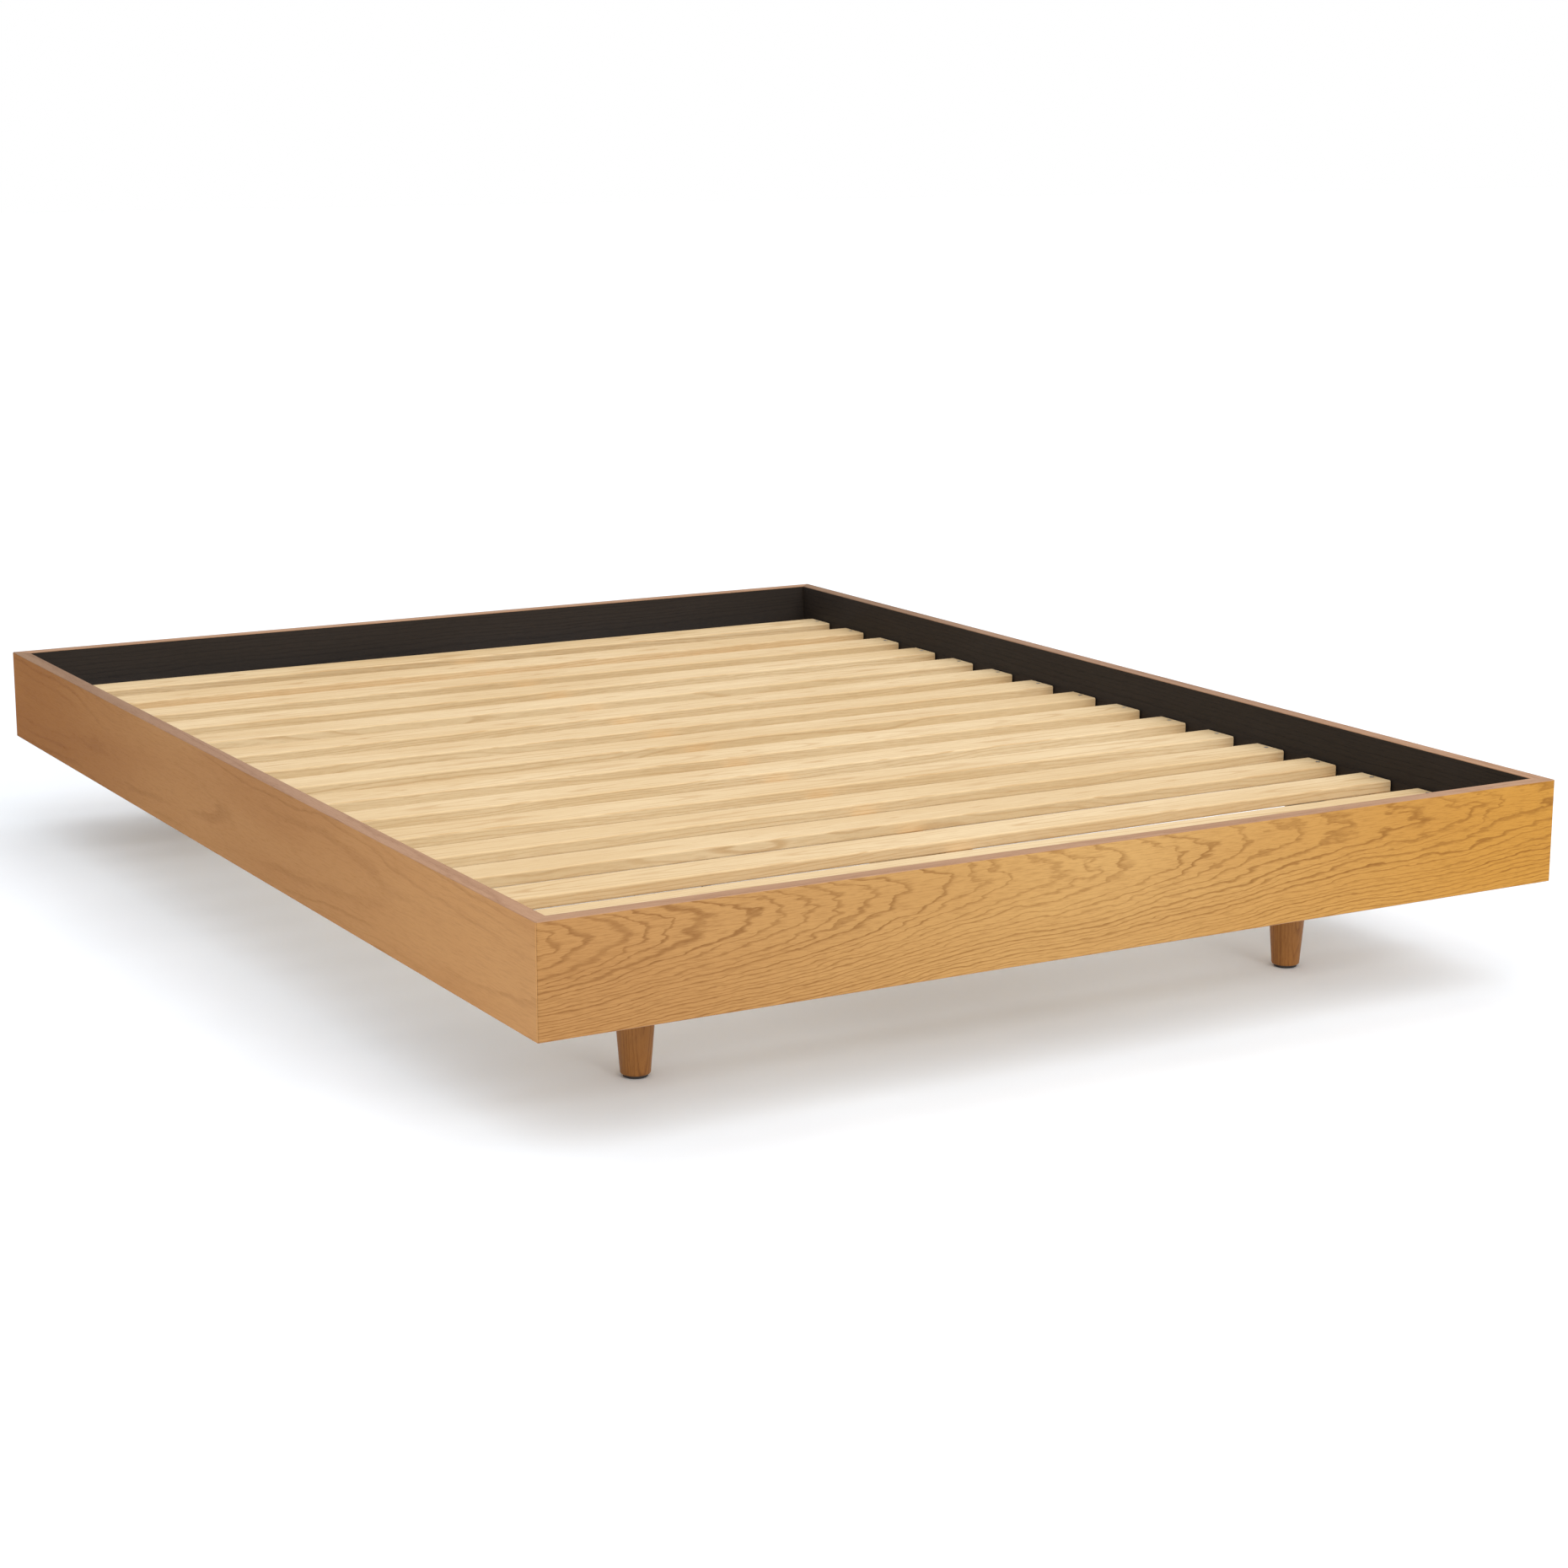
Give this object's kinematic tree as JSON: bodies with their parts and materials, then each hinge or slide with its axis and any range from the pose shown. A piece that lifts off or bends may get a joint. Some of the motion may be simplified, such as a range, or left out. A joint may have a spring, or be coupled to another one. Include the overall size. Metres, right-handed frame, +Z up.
{
  "type": "bed frame",
  "caption": "Low platform bed frame with mitred oak-veneered rails, a screwed slat deck on cross-lapped bearers, tapered round legs and an adjustable centre support foot.",
  "frame": {"origin": "on the floor, under the middle of the bed", "axes": "+Z up, Y along the length of the bed with the foot rail at -Y, X across its width"},
  "size_m": [1.64, 2.15, 0.308],
  "materials": {
    "oak_veneer": "satin lacquered oak veneer, cathedral grain, dark-stained inner face",
    "stained_oak": "satin, darker stained turned oak",
    "softwood": "planed spruce",
    "slat_wood": "planed pine",
    "dowel_wood": "fluted beech",
    "zinc_steel": "bright zinc plate",
    "black_steel": "black oxide",
    "plate_steel": "zinc plate",
    "brass": "machined",
    "glide_plastic": "moulded",
    "pad_plastic": "moulded"
  },
  "bodies": {
    "frame": {"beam_bracket_screws": "zinc_steel", "bearer_screws": "zinc_steel", "centre_beam": "softwood", "centre_leg_plate": "plate_steel", "centre_support_leg": "softwood", "corner_bolts": "black_steel", "corner_dowels": "dowel_wood", "foot_beam_bracket": "plate_steel", "foot_left_corner_block": "softwood", "foot_left_leg": "stained_oak", "foot_left_leg_glide": "glide_plastic", "foot_left_leg_plate": "plate_steel", "foot_leg_bearer": "softwood", "foot_rail": "oak_veneer", "foot_right_corner_block": "softwood", "foot_right_leg": "stained_oak", "foot_right_leg_glide": "glide_plastic", "foot_right_leg_plate": "plate_steel", "head_beam_bracket": "plate_steel", "head_left_corner_block": "softwood", "head_left_leg": "stained_oak", "head_left_leg_glide": "glide_plastic", "head_left_leg_plate": "plate_steel", "head_leg_bearer": "softwood", "head_rail": "oak_veneer", "head_right_corner_block": "softwood", "head_right_leg": "stained_oak", "head_right_leg_glide": "glide_plastic", "head_right_leg_plate": "plate_steel", "ledger_screws": "zinc_steel", "left_side_rail": "oak_veneer", "left_slat_ledger": "softwood", "leg_hanger_bolts": "zinc_steel", "leg_plate_screws": "zinc_steel", "levelling_foot_insert": "brass", "rail_thread_inserts": "brass", "right_side_rail": "oak_veneer", "right_slat_ledger": "softwood", "slat_01": "slat_wood", "slat_02": "slat_wood", "slat_03": "slat_wood", "slat_04": "slat_wood", "slat_05": "slat_wood", "slat_06": "slat_wood", "slat_07": "slat_wood", "slat_08": "slat_wood", "slat_09": "slat_wood", "slat_10": "slat_wood", "slat_11": "slat_wood", "slat_12": "slat_wood", "slat_13": "slat_wood", "slat_14": "slat_wood", "slat_15": "slat_wood", "slat_16": "slat_wood", "slat_screws": "zinc_steel"},
    "levelling_pad": {"levelling_foot_pad": "pad_plastic"},
    "levelling_stem": {"levelling_foot_stem": "zinc_steel"}
  },
  "joints": [
    {"name": "levelling_pad_slide", "type": "slide", "parent": "frame", "child": "levelling_pad", "axis": [0, 0, 1], "range_m": [-0.012, 0.008]},
    {"name": "levelling_stem_turn", "type": "hinge", "parent": "levelling_pad", "child": "levelling_stem", "pos_m": [0, 0, 0.03], "axis": [0, 0, 1], "range_deg": [-3455.9, 2304]}
  ],
  "couplings": [
    {"joint": "levelling_pad_slide", "follows": "levelling_stem_turn", "m_per_rad": 0.00019894}
  ]
}
